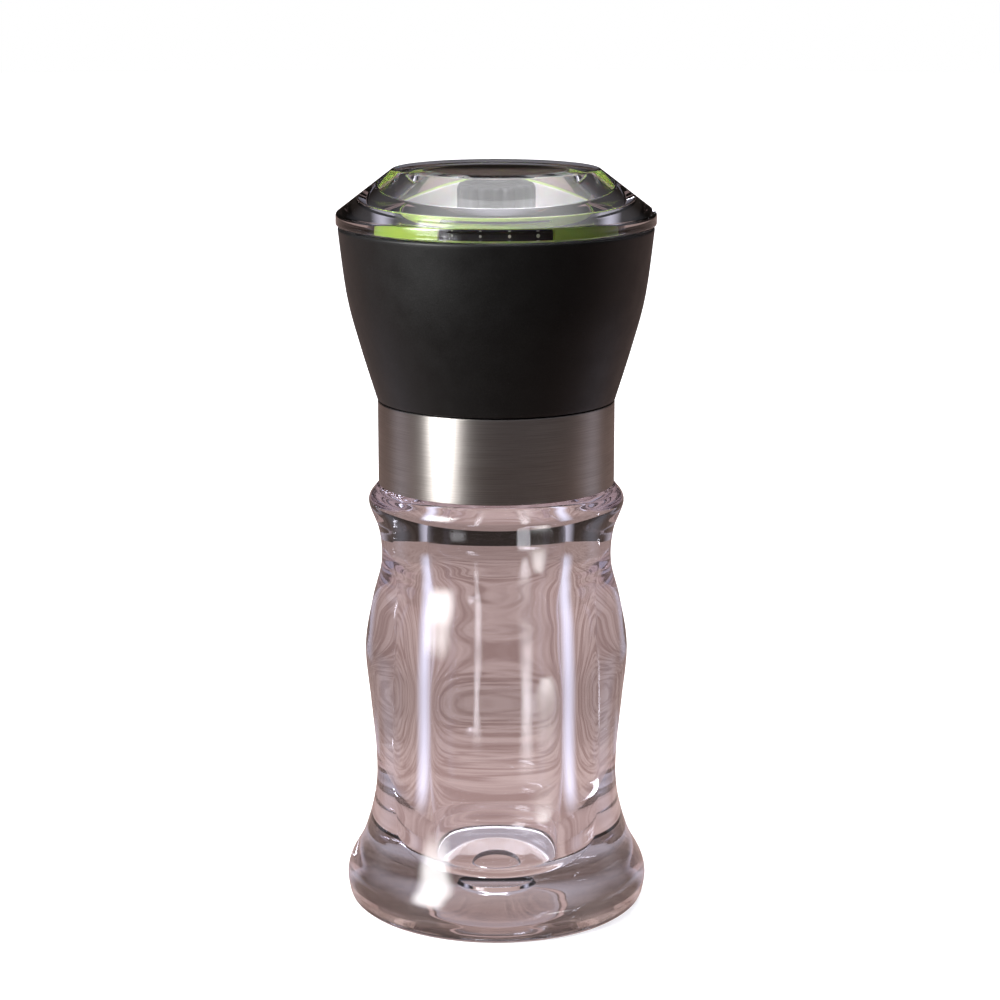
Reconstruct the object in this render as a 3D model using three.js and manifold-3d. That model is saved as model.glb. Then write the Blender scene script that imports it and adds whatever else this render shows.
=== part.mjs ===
// Pepper mill: a waisted clear jar below, a turning grinder head with ceramic burrs above,
// a green coarseness ring in the top of the head and a thick clear cap over it.
// Millimetres, +Z up. The origin is the centre of the jar's underside.

import * as THREE from 'three';
import { mergeVertices } from 'three/addons/utils/BufferGeometryUtils.js';
import Module from 'manifold-3d';

const wasm = await Module();
wasm.setup();

// ---- driving dimensions -------------------------------------------------------------------

const SIDES = 36; // facets round the large turned pieces
const FINE_SIDES = 24; // facets round the small turned pieces
const GAP = 0.3; // between pieces that touch on the real mill

const JAR = {
  outline: [
    [27.3, 0], [28.4, 1], [28.95, 3], [29.1, 5.2], [28.3, 8], [25.7, 13], [23.6, 21], [23.3, 29],
    [24.3, 40], [25.2, 50.5], [23.8, 59.5], [22, 67], [22.4, 73.5], [24.3, 79.1], [23, 81.7],
  ],
  neckRadius: 17.6,
  shoulder: 82.2,
  mouth: 93.5, // height of the jar's mouth
  bore: 13,
  floor: 5.5,
  floorCorner: 5,
  recessRadius: 5.1, // round recess in the underside
  recessDepth: 1.2,
};

const THREAD = { pitch: 4, turns: 2, width: 1.3, jarCrest: 18.6, bore: 19.2, collarCrest: 18.1, start: 85.2 };

const COLLAR = { radius: 21.6, bottom: 82.9, roofBelow: 95.6, roof: 98, sleeve: 15.4, sleeveTop: 105.2 };
const CLIP_GROOVE = { radius: 14.6, bottom: 102.9, top: 103.9 }; // round the collar's sleeve
const THROAT = 13.6; // radius of the way for the pepper through the collar
const BAND = { radius: 22.4, wall: 0.5, bottom: 82.6, top: 98.5 };

const HEAD = {
  outline: [[22.5, 98.8], [25.6, 109], [28, 118.5], [29.6, 131.2]],
  wall: 2,
  postRadius: 2,
  postCircle: 22.6,
  postTop: 125.1,
  postBottom: 107,
};
const LINER = {
  inner: 18.5, outer: 20.3, bottom: 99.4, flange: 102.4, deck: 125.4, top: 128, deckRadius: 26.2,
};
const KEY = { width: 4, reach: 18.95, slot: 19.3 }; // carriage keys in the liner's grooves
const SCREW = { head: 1.7, shank: 0.9, length: 7, recess: 1.3 };

const CARRIAGE = { outer: 18.1, inner: 16, bottom: 112, seat: 113.6, top: 124.4 };
const RING_BURR = { outer: 15.7, bottom: 113.9, top: 123.2 };
const CONE_BURR = { bottom: 112.8, top: 123.8 };
const TEETH = 16;
const TOOTH_DEPTH = 0.8;

const RAMP = { drop: 1.2, travel: 75, lugHalf: 8, foot: 125.9 }; // mm down over degrees of turn
const ADJUSTER = {
  bore: 16.3, bottom: 127.6, rampRadius: 17.9, flange: 20.8, flangeTop: 129.1, wall: 19.8, top: 133.6,
};
const TRIM = {
  outer: 23.6, under: 132.9, top: 133.7, skirt: 22.7, skirtInner: 22.1, bottom: 130.4,
};
const WINDOW = { half: 25.5, bottom: 131.3, top: 132.6 }; // degrees each side of the front, and heights
const SCALE = {
  radius: 21.6, inner: 20.9, top: 132.4, deck: 129.6, rim: 25.2, bottom: 128.3, lip: 20.2, lipTop: 130.2,
};
const KNOB = { radius: 7.4, bottom: 125.2, top: 136.2, ribs: 18, ribDepth: 0.7 };
const SPINDLE = { hex: 2.6, headRadius: 4, headBottom: 95.6, headTop: 98.1, top: 132 };
const HUB = { radius: 4.8, bottom: 98.4, top: 103.6, rim: 13.3, rimInner: 12.2, armWidth: 2.2 };

const CAP = {
  radius: 29.9, bottom: 131.5, top: 141.9, topRadius: 19.2, shoulder: 133.7,
  bore: 24, ledge: 134.1, ledgeRadius: 19, ceiling: 139.2, ceilingRadius: 13.5,
};
const SPIGOT = { inner: 25.8, outer: 27.1, bottom: 128.7 }; // the cap's ring that plugs into the head

const LIFT_SPRING = { radius: 17.6, wire: 1, turns: 3 };
const CONE_SPRING = { radius: 4.3, wire: 0.8, turns: 4, bottom: 104, top: 111.6 };

// ---- materials ----------------------------------------------------------------------------

const finish = (color, roughness, metalness = 0) => ({ color, roughness, metalness });
const clear = (color) => ({ color, roughness: 0.03, metalness: 0, transparent: true, opacity: 0.35 });

const ACRYLIC = clear(0xeeeef8);
const BLACK = finish(0x121212, 0.55);
const GREY = finish(0x3a3a3c, 0.5);
const GREEN = finish(0xb5d24a, 0.4);
const STEEL = finish(0xb4aea6, 0.32, 1);
const SPRING_STEEL = finish(0xc8c8c8, 0.25, 1);
const CERAMIC = finish(0xf1efe8, 0.6);
const NYLON = finish(0xe6e4dc, 0.5);
const SILICONE = finish(0xdcdcd6, 0.7);

// ---- helpers ------------------------------------------------------------------------------

const mill = new THREE.Group();

function piece(name, geometry, look) {
  const mesh = new THREE.Mesh(geometry, new THREE.MeshStandardMaterial(look));
  mesh.name = name;
  mill.add(mesh);
  return mesh;
}

const radians = (degrees) => (degrees * Math.PI) / 180;

// Points [r, z] along a smooth curve through the given points.
function smooth(points, steps) {
  const curve = new THREE.SplineCurve(points.map(([r, z]) => new THREE.Vector2(r, z)));
  return curve.getPoints(steps).map((p) => [p.x, p.y]);
}

// Points [r, z] on an arc about [r, z], from one angle to another in degrees.
function arc([r, z], radius, from, to, steps = 3) {
  const curve = new THREE.EllipseCurve(r, z, radius, radius, radians(from), radians(to), from > to);
  return curve.getPoints(steps).map((p) => [p.x, p.y]);
}

// Turns an outline of [r, z] points, given anticlockwise, about the Z axis.
function turned(outline, sides = SIDES) {
  const closed = outline[0][0] === 0 ? outline : [...outline, outline[0]];
  const lathe = new THREE.LatheGeometry(closed.map(([r, z]) => new THREE.Vector2(r, z)), sides);
  return lathe.rotateX(Math.PI / 2);
}

// A plain ring of rectangular section.
function ring(inner, outer, bottom, top, sides = FINE_SIDES) {
  return turned([[inner, bottom], [outer, bottom], [outer, top], [inner, top]], sides);
}

function cylinder(radius, bottom, top, sides = 16) {
  const upright = new THREE.CylinderGeometry(radius, radius, top - bottom, sides).rotateX(Math.PI / 2);
  return upright.translate(0, 0, (bottom + top) / 2);
}

function box(x0, x1, y0, y1, z0, z1) {
  const block = new THREE.BoxGeometry(x1 - x0, y1 - y0, z1 - z0);
  return block.translate((x0 + x1) / 2, (y0 + y1) / 2, (z0 + z1) / 2);
}

// The three copies of a shape, 120 degrees apart, the first turned by the given angle.
function threefold(shape, first = 0) {
  return [0, 1, 2].map((k) => shape().rotateZ(radians(first + 120 * k)));
}

function solid(geometry) {
  const bare = geometry.clone();
  bare.deleteAttribute('normal');
  bare.deleteAttribute('uv');
  const merged = mergeVertices(bare, 1e-4);
  const corners = merged.index.array;
  const kept = [];
  for (let i = 0; i < corners.length; i += 3) {
    const [a, b, c] = [corners[i], corners[i + 1], corners[i + 2]];
    if (a !== b && b !== c && c !== a) kept.push(a, b, c);
  }
  const vertProperties = new Float32Array(merged.attributes.position.array);
  return new wasm.Manifold(new wasm.Mesh({ numProp: 3, vertProperties, triVerts: new Uint32Array(kept) }));
}

function surface(body) {
  const mesh = body.getMesh();
  const geometry = new THREE.BufferGeometry();
  geometry.setAttribute('position', new THREE.BufferAttribute(mesh.vertProperties, 3));
  geometry.setIndex(new THREE.BufferAttribute(mesh.triVerts, 1));
  geometry.computeVertexNormals();
  return geometry;
}

const join = (first, ...others) => surface(others.reduce((sum, g) => sum.add(solid(g)), solid(first)));
const cut = (first, ...tools) => surface(tools.reduce((rest, g) => rest.subtract(solid(g)), solid(first)));

// A screw thread that runs out to nothing at both ends. root and crest are radii.
function thread(root, crest, turns) {
  const half = THREAD.width / 2;
  const flank = 0.35;
  const inward = crest < root;
  const below = [[root, -half - flank], [crest, -half + flank]];
  const above = [[crest, half - flank], [root, half + flank]];
  const corners = [...below, ...above];
  const section = inward ? corners.reverse() : corners;
  const closed = [...section, section[0]].map(([r, z]) => new THREE.Vector2(r, z));
  const steps = Math.round(turns * 16);
  const sweep = new THREE.LatheGeometry(closed, steps, 0, turns * 2 * Math.PI);
  const place = sweep.attributes.position;
  for (let i = 0; i <= steps; i += 1) {
    const angle = (i / steps) * turns * 2 * Math.PI;
    const rise = THREAD.start + (THREAD.pitch * i * turns) / steps;
    const ended = i === 0 || i === steps;
    closed.forEach((corner, j) => {
      const r = ended ? root : corner.x;
      const z = ended ? 0 : corner.y;
      place.setXYZ(i * closed.length + j, r * Math.sin(angle), rise + z, r * Math.cos(angle));
    });
  }
  return sweep.rotateX(Math.PI / 2);
}

class Helix extends THREE.Curve {
  constructor(radius, bottom, top, turns) {
    super();
    Object.assign(this, { radius, bottom, top, turns });
  }

  getPoint(t, target = new THREE.Vector3()) {
    const angle = t * this.turns * 2 * Math.PI;
    const height = this.bottom + t * (this.top - this.bottom);
    return target.set(this.radius * Math.cos(angle), this.radius * Math.sin(angle), height);
  }
}

function coil({ radius, wire, turns }, bottom, top, stepsPerTurn) {
  const section = new THREE.Shape().absarc(0, 0, wire / 2, 0, 2 * Math.PI);
  const path = new Helix(radius, bottom + wire / 2, top - wire / 2, turns);
  const steps = turns * stepsPerTurn;
  return new THREE.ExtrudeGeometry(section, { extrudePath: path, steps, curveSegments: 3 });
}

// Cuts saw teeth into the rows of a turned outline whose numbers are given, and twists them with height.
function toothed(outline, rows, depth, twistPerMm) {
  const geometry = turned(outline, TEETH * 3);
  const perStep = outline.length + 1;
  const place = geometry.attributes.position;
  for (let k = 0; k < place.count; k += 1) {
    const step = Math.floor(k / perStep);
    const row = (k % perStep) % outline.length;
    const [radius, height] = outline[row];
    const bite = rows.includes(row) ? (depth * (step % 3)) / 2 : 0;
    const angle = (step / (TEETH * 3)) * 2 * Math.PI + twistPerMm * (height - CONE_BURR.bottom);
    place.setXYZ(k, (radius + bite) * Math.sin(angle), -(radius + bite) * Math.cos(angle), height);
  }
  return geometry;
}

// ---- jar and what screws on it ------------------------------------------------------------

function jar() {
  const corner = [JAR.bore - JAR.floorCorner, JAR.floor + JAR.floorCorner];
  const body = turned([
    [0, JAR.recessDepth],
    [JAR.recessRadius - 0.4, JAR.recessDepth],
    [JAR.recessRadius, JAR.recessDepth - 0.4],
    [JAR.recessRadius, 0],
    ...smooth(JAR.outline, 20),
    [22, JAR.shoulder],
    [JAR.neckRadius, JAR.shoulder],
    [JAR.neckRadius, JAR.mouth - 0.6],
    [JAR.neckRadius - 0.6, JAR.mouth],
    [JAR.bore + 0.6, JAR.mouth],
    [JAR.bore, JAR.mouth - 0.6],
    ...arc(corner, JAR.floorCorner, 0, -90),
    [0, JAR.floor],
  ]);
  return join(body, thread(JAR.neckRadius - 0.2, THREAD.jarCrest, THREAD.turns - 0.25));
}

function jarSeal() {
  return ring(THROAT - 0.2, JAR.neckRadius - 0.2, JAR.mouth + GAP, COLLAR.roofBelow - GAP);
}

function neckCollar() {
  const body = turned([
    [THREAD.bore, COLLAR.bottom],
    [COLLAR.radius, COLLAR.bottom],
    [COLLAR.radius, COLLAR.roof],
    [COLLAR.sleeve, COLLAR.roof],
    [COLLAR.sleeve, CLIP_GROOVE.bottom],
    [CLIP_GROOVE.radius, CLIP_GROOVE.bottom],
    [CLIP_GROOVE.radius, CLIP_GROOVE.top],
    [COLLAR.sleeve, CLIP_GROOVE.top],
    [COLLAR.sleeve, COLLAR.sleeveTop - 0.4],
    [COLLAR.sleeve - 0.4, COLLAR.sleeveTop],
    [THROAT, COLLAR.sleeveTop],
    [THROAT, COLLAR.roofBelow],
    [THREAD.bore, COLLAR.roofBelow],
  ]);
  const ridge = thread(THREAD.bore + 0.2, THREAD.collarCrest, THREAD.turns - 0.25);
  return join(body, ridge.translate(0, 0, THREAD.pitch / 2));
}

function driveSpider() {
  const rim = ring(HUB.rimInner, HUB.rim, HUB.bottom, HUB.bottom + 3);
  const hub = cylinder(HUB.radius, HUB.bottom, HUB.top);
  const half = HUB.armWidth / 2;
  const arm = () => box(1, HUB.rimInner + 0.5, -half, half, HUB.bottom, HUB.bottom + 3);
  const whole = join(rim, hub, ...threefold(arm, 60));
  return cut(whole, cylinder(SPINDLE.hex + GAP, HUB.bottom - 1, HUB.top + 1, 6));
}

function spindle() {
  const head = cylinder(SPINDLE.headRadius, SPINDLE.headBottom, SPINDLE.headTop, 6);
  return join(head, cylinder(SPINDLE.hex, SPINDLE.headTop - 0.5, SPINDLE.top, 6));
}

function innerBurr() {
  const bore = 3.6;
  const outline = [
    [bore, CONE_BURR.bottom], [7.6, CONE_BURR.bottom], [8.6, 113.8], [10.9, 119.6], [12.2, 122.4],
    [12.4, CONE_BURR.top], [bore, CONE_BURR.top],
  ];
  return toothed(outline, [1, 2, 3, 4, 5], -TOOTH_DEPTH, radians(3));
}

function ringBurr() {
  const outline = [
    [RING_BURR.outer, RING_BURR.bottom], [RING_BURR.outer, RING_BURR.top], [12.9, RING_BURR.top],
    [12.75, 122.2], [11.9, 119.6], [10.8, 115.4], [12.2, RING_BURR.bottom],
  ];
  return toothed(outline, [2, 3, 4, 5, 6], TOOTH_DEPTH, radians(-3));
}

// A grey nut with ribs round it, screwed on the spindle's end.
function spindleKnob() {
  const outline = new THREE.Shape();
  const points = KNOB.ribs * 4;
  for (let k = 0; k < points; k += 1) {
    const radius = KNOB.radius - (k % 4 < 2 ? 0 : KNOB.ribDepth);
    const angle = (k / points) * 2 * Math.PI;
    if (k === 0) outline.moveTo(radius, 0);
    else outline.lineTo(radius * Math.cos(angle), radius * Math.sin(angle));
  }
  outline.closePath();
  const chamfer = 0.6;
  const ribbed = new THREE.ExtrudeGeometry(outline, {
    depth: KNOB.top - KNOB.bottom - 2 * chamfer,
    bevelEnabled: true,
    bevelThickness: chamfer,
    bevelSize: chamfer,
    bevelOffset: -chamfer,
    bevelSegments: 1,
  }).translate(0, 0, KNOB.bottom + chamfer);
  return cut(ribbed, cylinder(SPINDLE.hex + GAP, KNOB.bottom - 1, SPINDLE.top + GAP, 12));
}

// ---- head ---------------------------------------------------------------------------------

// The head's outer outline, moved in by the wall's thickness.
function insideHead(steps) {
  return smooth(HEAD.outline, steps).map(([r, z]) => [r - HEAD.wall, z]);
}

// Moves a shape out to the circle of the screw posts.
const atPost = (shape) => shape.translate(HEAD.postCircle, 0, 0);

function headShell() {
  const outside = smooth(HEAD.outline, 8);
  const inside = insideHead(5).reverse();
  const shell = turned([...outside, ...inside]);
  const post = () => atPost(cylinder(HEAD.postRadius, HEAD.postBottom, HEAD.postTop, 12));
  const pilotBottom = LINER.top - SCREW.recess - SCREW.length - GAP;
  const pilot = () => atPost(cylinder(SCREW.shank + GAP, pilotBottom, HEAD.postTop + 1, 8));
  return cut(join(shell, ...threefold(post, 30)), ...threefold(pilot, 30));
}

function headLiner() {
  const body = turned([
    [COLLAR.sleeve + 0.4, LINER.bottom],
    [LINER.outer, LINER.bottom],
    [LINER.outer, LINER.deck],
    [LINER.deckRadius, LINER.deck],
    [LINER.deckRadius, LINER.top],
    [LINER.inner, LINER.top],
    [LINER.inner, LINER.flange],
    [COLLAR.sleeve + 0.4, LINER.flange],
  ]);
  const half = KEY.width / 2 + 0.4;
  const groove = () => box(17, KEY.slot, -half, half, CARRIAGE.bottom - 2, LINER.top + 1);
  const hole = () => atPost(cylinder(SCREW.shank + GAP, LINER.deck - 1, LINER.top + 1, 8));
  const recess = () => atPost(cylinder(SCREW.head + GAP, LINER.top - SCREW.recess, LINER.top + 1, 12));
  return cut(body, ...threefold(groove, 90), ...threefold(hole, 30), ...threefold(recess, 30));
}

function linerScrew(angle) {
  const seat = LINER.top - SCREW.recess + 0.2;
  const head = cylinder(SCREW.head, seat, LINER.top - 0.2, 12);
  const whole = join(head, cylinder(SCREW.shank, seat - SCREW.length, seat + 0.3, 8));
  return atPost(whole).rotateZ(radians(angle));
}

// A ring on the liner's deck with an upright wall, whose lip holds the adjuster's flange down.
function scaleRing() {
  return turned([
    [ADJUSTER.flange + 0.4, SCALE.bottom],
    [SCALE.rim, SCALE.bottom],
    [SCALE.rim, SCALE.deck],
    [SCALE.radius, SCALE.deck],
    [SCALE.radius, SCALE.top],
    [SCALE.inner, SCALE.top],
    [SCALE.inner, SCALE.lipTop],
    [SCALE.lip, SCALE.lipTop],
    [SCALE.lip, ADJUSTER.flangeTop + 0.4],
    [ADJUSTER.flange + 0.4, ADJUSTER.flangeTop + 0.4],
  ]);
}

// A sector of a ring between two heights, from one angle to another in degrees.
function sector(inner, outer, from, to, bottom, top) {
  const outline = new THREE.Shape();
  outline.absarc(0, 0, outer, radians(from), radians(to), false);
  outline.absarc(0, 0, inner, radians(to), radians(from), true);
  const depth = top - bottom;
  const plate = new THREE.ExtrudeGeometry(outline, { depth, bevelEnabled: false, curveSegments: 4 });
  return plate.translate(0, 0, bottom);
}

// How far a ramp has risen at an angle from its lug, in degrees.
const rampRise = (degrees) => (RAMP.drop * degrees) / RAMP.travel;

// A ring's sector whose bottom or top face follows the ramp.
function ramped(inner, outer, from, to, bottom, top, face) {
  const block = sector(inner, outer, from, to, bottom, top);
  const place = block.attributes.position;
  const middle = (bottom + top) / 2;
  for (let k = 0; k < place.count; k += 1) {
    const atTop = place.getZ(k) > middle;
    if (atTop !== (face === 'top')) continue;
    const degrees = (Math.atan2(place.getY(k), place.getX(k)) * 180) / Math.PI;
    place.setZ(k, place.getZ(k) + rampRise(degrees));
  }
  return block;
}

function burrCarriage() {
  const cup = turned([
    [13.6, CARRIAGE.bottom],
    [CARRIAGE.outer, CARRIAGE.bottom],
    [CARRIAGE.outer, CARRIAGE.top],
    [CARRIAGE.inner, CARRIAGE.top],
    [CARRIAGE.inner, CARRIAGE.seat],
    [13.6, CARRIAGE.seat],
  ], 36);
  const key = () => box(17, KEY.reach, -KEY.width / 2, KEY.width / 2, CARRIAGE.bottom + 1, CARRIAGE.top - 1);
  const lug = () => ramped(16.3, 17.9, -RAMP.lugHalf, RAMP.lugHalf, CARRIAGE.top - 0.5, RAMP.foot, 'top');
  return join(cup, ...threefold(key, 90), ...threefold(lug));
}

// The white funnel that turns in the scale ring. Its three ramps push the carriage's lugs down.
function adjusterHub() {
  const neck = ADJUSTER.rampRadius + 0.2;
  const body = turned([
    [ADJUSTER.bore, ADJUSTER.bottom],
    [neck, ADJUSTER.bottom],
    [neck, ADJUSTER.bottom + 0.8],
    [ADJUSTER.flange, ADJUSTER.bottom + 0.8],
    [ADJUSTER.flange, ADJUSTER.flangeTop],
    [ADJUSTER.wall, ADJUSTER.flangeTop],
    [ADJUSTER.wall, ADJUSTER.top],
    [ADJUSTER.wall - 1.2, ADJUSTER.top],
    [ADJUSTER.bore + 1.3, ADJUSTER.bottom + 2],
    [ADJUSTER.bore, ADJUSTER.bottom + 1.4],
  ]);
  const from = -RAMP.travel - RAMP.lugHalf - 2;
  const root = ADJUSTER.bottom + 0.3;
  const ramp = () => ramped(
    ADJUSTER.bore + 0.2, ADJUSTER.rampRadius, from, RAMP.lugHalf + 2, RAMP.foot + GAP, root, 'bottom',
  );
  return join(body, ...threefold(ramp));
}

// The green ring that the fingers turn. It clips over the hub's wall, and its window shows the scale.
function adjusterRing() {
  const clip = { inner: ADJUSTER.wall + GAP, outer: ADJUSTER.wall + 0.8, bottom: 131 };
  const body = turned([
    [clip.inner, clip.bottom],
    [clip.outer, clip.bottom],
    [clip.outer, TRIM.under],
    [TRIM.skirtInner, TRIM.under],
    [TRIM.skirtInner, TRIM.bottom],
    [TRIM.skirt, TRIM.bottom],
    [TRIM.skirt, TRIM.under],
    [TRIM.outer, TRIM.under],
    [TRIM.outer, TRIM.top],
    [clip.inner, TRIM.top - 0.3],
  ]);
  const start = -90 - WINDOW.half;
  const end = -90 + WINDOW.half;
  return cut(body, sector(TRIM.skirtInner - 0.4, TRIM.outer + 2, start, end, WINDOW.bottom, WINDOW.top));
}

// ---- cap ----------------------------------------------------------------------------------

function cap() {
  const edge = 0.4;
  return turned([
    [0, CAP.ceiling],
    [CAP.ceilingRadius, CAP.ceiling],
    [CAP.ledgeRadius, CAP.ledge],
    [CAP.bore, CAP.ledge],
    [CAP.bore, CAP.bottom],
    [SPIGOT.inner, CAP.bottom],
    [SPIGOT.inner, SPIGOT.bottom],
    [SPIGOT.outer, SPIGOT.bottom],
    [SPIGOT.outer, CAP.bottom],
    [CAP.radius - edge, CAP.bottom],
    [CAP.radius, CAP.bottom + edge],
    [CAP.radius, CAP.shoulder - edge],
    [CAP.radius - edge, CAP.shoulder + 0.3],
    [CAP.topRadius + 0.7, CAP.top - 0.5],
    [CAP.topRadius - 0.4, CAP.top],
    [0, CAP.top],
  ]);
}

// ---- assembly -----------------------------------------------------------------------------

piece('jar', jar(), ACRYLIC);
piece('jar_seal', jarSeal(), SILICONE);

piece('neck_collar', neckCollar(), BLACK);
piece('steel_band', ring(BAND.radius - BAND.wall, BAND.radius, BAND.bottom, BAND.top, SIDES), STEEL);
piece('drive_spider', driveSpider(), GREY);
piece('spindle', spindle(), SPRING_STEEL);
piece('burr_spring', coil(CONE_SPRING, CONE_SPRING.bottom, CONE_SPRING.top, 10), SPRING_STEEL);
piece('spring_washer', ring(3.2, 6, CONE_SPRING.top + GAP, CONE_BURR.bottom - GAP), SPRING_STEEL);
piece('inner_burr', innerBurr(), CERAMIC);
piece('burr_washer', ring(3.2, 8, CONE_BURR.top + GAP, KNOB.bottom - GAP), SPRING_STEEL);
piece('spindle_knob', spindleKnob(), GREY);
piece('thrust_washer', ring(16.4, 19.8, COLLAR.roof + GAP, LINER.bottom - GAP), NYLON);
piece('retaining_ring', ring(14.9, 16.7, CLIP_GROOVE.bottom + 0.1, CLIP_GROOVE.top - 0.1), SPRING_STEEL);

piece('head_shell', headShell(), BLACK);
piece('head_liner', headLiner(), GREY);
[30, 150, 270].forEach((angle, k) => piece(`liner_screw_${k + 1}`, linerScrew(angle), SPRING_STEEL));
piece('carriage_spring', coil(LIFT_SPRING, LINER.flange + GAP, CARRIAGE.bottom - GAP, 16), SPRING_STEEL);
piece('scale_ring', scaleRing(), BLACK);

piece('burr_carriage', burrCarriage(), GREY);
piece('ring_burr', ringBurr(), CERAMIC);
piece('burr_retainer', ring(14, RING_BURR.outer, RING_BURR.top + GAP, CARRIAGE.top - GAP), SPRING_STEEL);

piece('adjuster_hub', adjusterHub(), NYLON);
piece('adjuster_ring', adjusterRing(), GREEN);
piece('cap', cap(), ACRYLIC);

export default mill;
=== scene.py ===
"""Pepper mill: the looks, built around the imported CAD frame. Outlines are in mm, the scene in metres."""

import math

import bmesh
import bpy
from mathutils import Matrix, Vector

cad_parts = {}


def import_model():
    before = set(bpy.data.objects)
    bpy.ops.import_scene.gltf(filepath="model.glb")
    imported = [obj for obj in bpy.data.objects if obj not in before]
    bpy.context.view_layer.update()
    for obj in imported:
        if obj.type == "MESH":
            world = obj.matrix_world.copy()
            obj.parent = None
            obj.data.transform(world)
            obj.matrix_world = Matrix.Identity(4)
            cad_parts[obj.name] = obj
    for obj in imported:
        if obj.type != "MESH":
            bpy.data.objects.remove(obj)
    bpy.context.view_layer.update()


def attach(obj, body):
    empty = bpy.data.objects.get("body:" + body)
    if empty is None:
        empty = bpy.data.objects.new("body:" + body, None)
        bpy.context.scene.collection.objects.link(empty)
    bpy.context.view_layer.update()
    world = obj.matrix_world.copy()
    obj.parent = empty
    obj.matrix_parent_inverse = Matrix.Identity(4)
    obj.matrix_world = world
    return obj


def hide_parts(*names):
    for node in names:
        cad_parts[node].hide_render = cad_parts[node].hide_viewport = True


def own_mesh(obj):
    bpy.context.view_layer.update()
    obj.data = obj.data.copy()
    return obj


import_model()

MM = 0.001
ROUND = 192  # steps round a turned piece
SHARP = math.radians(35)  # an edge that turns by more than this looks sharp

# ---- the mill's own sizes, in millimetres and degrees -------------------------------------

JAR_CURVE = [
    (27.3, 0), (28.4, 1), (28.95, 3), (29.1, 5.2), (28.3, 8), (25.7, 13), (23.6, 21), (23.3, 29),
    (24.3, 40), (25.2, 50.5), (23.8, 59.5), (22, 67), (22.4, 73.5), (24.3, 79.1), (23, 81.7),
]
HEAD_CURVE = [(22.5, 98.8), (25.6, 109), (28, 118.5), (29.6, 131.2)]
HEAD_WALL = 2.0
NECK_RADIUS = 17.6
JAR_THREAD_CREST = 18.6
COLLAR_BORE = 19.2
COLLAR_THREAD_CREST = 18.1
THREAD_PITCH = 4.0
THREAD_START = 85.2
THREAD_TURNS = 1.75
THREAD_HALF = 0.65  # half the thread's width, half way up its sloping sides
THREAD_FLANK = 0.7  # the width of each sloping side
TEETH = 16
TOOTH_DEPTH = 0.8
TOOTH_RISE = 0.67  # the share of a tooth that its gentle flank takes
TOOTH_TWIST = math.radians(3)  # turn for each millimetre of height
CONE_FOOT = 112.8
POST_CIRCLE = 22.6
POST_ANGLES = (30, 150, 270)
KEY_ANGLES = (90, 210, 330)
ARM_ANGLES = (60, 180, 300)
KNOB_TOP = 136.2
RAMP_DROP = 1.2
RAMP_TRAVEL = 75
LIFT_SPRING_FOOT = 102.7
LIFT_SPRING_TOP = 111.7
LUG_TOP = 125.9
WINDOW_HALF = 25.5
SCALE_RADIUS = 21.6


# ---- outlines -----------------------------------------------------------------------------


def spline(points, steps):
    """A uniform Catmull-Rom curve through (r, z) points, with its end points used as their own neighbours."""
    curve = []
    spans = len(points) - 1
    for k in range(steps + 1):
        place = spans * k / steps
        i = min(int(place), spans - 1)
        t = place - i
        before, a, b = points[max(i - 1, 0)], points[i], points[i + 1]
        after = points[min(i + 2, spans)]
        point = []
        for axis in (0, 1):
            p0, p1, p2, p3 = before[axis], a[axis], b[axis], after[axis]
            v0, v1 = (p2 - p0) / 2, (p3 - p1) / 2
            cubic = (2 * p1 - 2 * p2 + v0 + v1) * t**3 + (-3 * p1 + 3 * p2 - 2 * v0 - v1) * t**2
            point.append(cubic + v0 * t + p1)
        curve.append(tuple(point))
    return curve


def rounded(corners, steps=5):
    """Rounds each (r, z, radius) corner of a closed outline with an arc. Without a radius it stays sharp."""
    outline = []
    count = len(corners)
    for i, corner in enumerate(corners):
        here = Vector(corner[:2])
        radius = corner[2] if len(corner) > 2 else 0
        if radius == 0 or here.x == 0:
            outline.append(tuple(here))
            continue
        back = (Vector(corners[i - 1][:2]) - here).normalized()
        ahead = (Vector(corners[(i + 1) % count][:2]) - here).normalized()
        half = back.angle(ahead) / 2
        centre = here + (back + ahead).normalized() * radius / math.sin(half)
        start = here + back * radius / math.tan(half) - centre
        end = here + ahead * radius / math.tan(half) - centre
        sweep = start.angle_signed(end)
        for k in range(steps + 1):
            turn = -sweep * k / steps
            x = start.x * math.cos(turn) - start.y * math.sin(turn)
            y = start.x * math.sin(turn) + start.y * math.cos(turn)
            outline.append((centre.x + x, centre.y + y))
    return outline


def even(a, b, step):
    """Points spaced along a straight stretch from a to b, without its end."""
    count = max(1, round(math.dist(a, b) / step))
    return [(a[0] + (b[0] - a[0]) * k / count, a[1] + (b[1] - a[1]) * k / count) for k in range(count)]


# ---- mesh builders ------------------------------------------------------------------------


def add_object(name, mesh):
    piece = bpy.data.objects.new(name, mesh)
    bpy.context.scene.collection.objects.link(piece)
    return piece


def from_bmesh(name, bm):
    bmesh.ops.remove_doubles(bm, verts=bm.verts, dist=1e-7)
    bmesh.ops.recalc_face_normals(bm, faces=bm.faces)
    mesh = bpy.data.meshes.new(name)
    bm.to_mesh(mesh)
    bm.free()
    for face in mesh.polygons:
        face.use_smooth = True
    mesh.set_sharp_from_angle(angle=SHARP)
    return add_object(name, mesh)


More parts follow.
